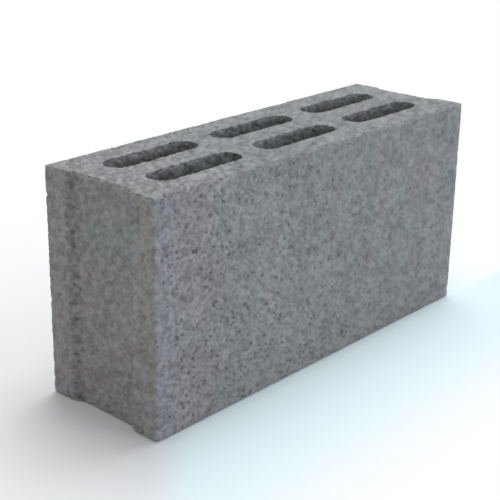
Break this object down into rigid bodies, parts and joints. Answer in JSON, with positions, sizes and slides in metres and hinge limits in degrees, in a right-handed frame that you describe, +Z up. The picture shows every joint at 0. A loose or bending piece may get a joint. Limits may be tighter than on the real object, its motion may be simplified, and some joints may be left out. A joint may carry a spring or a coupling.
{
  "type": "hollow concrete block",
  "caption": "Thin hollow concrete block for laying in mortar, with rows of round-ended slots from bed to bed and a shallow groove down each end.",
  "frame": {"origin": "centre of the lower bed, which is the face that it stands on", "axes": "+X along the block from the end nearer the camera to the far end, +Y across it from the long face that the camera sees to the hidden one, +Z up, out of the upper bed as it is laid"},
  "size_m": [0.39, 0.12, 0.19],
  "materials": {
    "concrete": "coarse, matt, finely pitted"
  },
  "bodies": {
    "root": {"concrete_block": "concrete"}
  },
  "joints": []
}
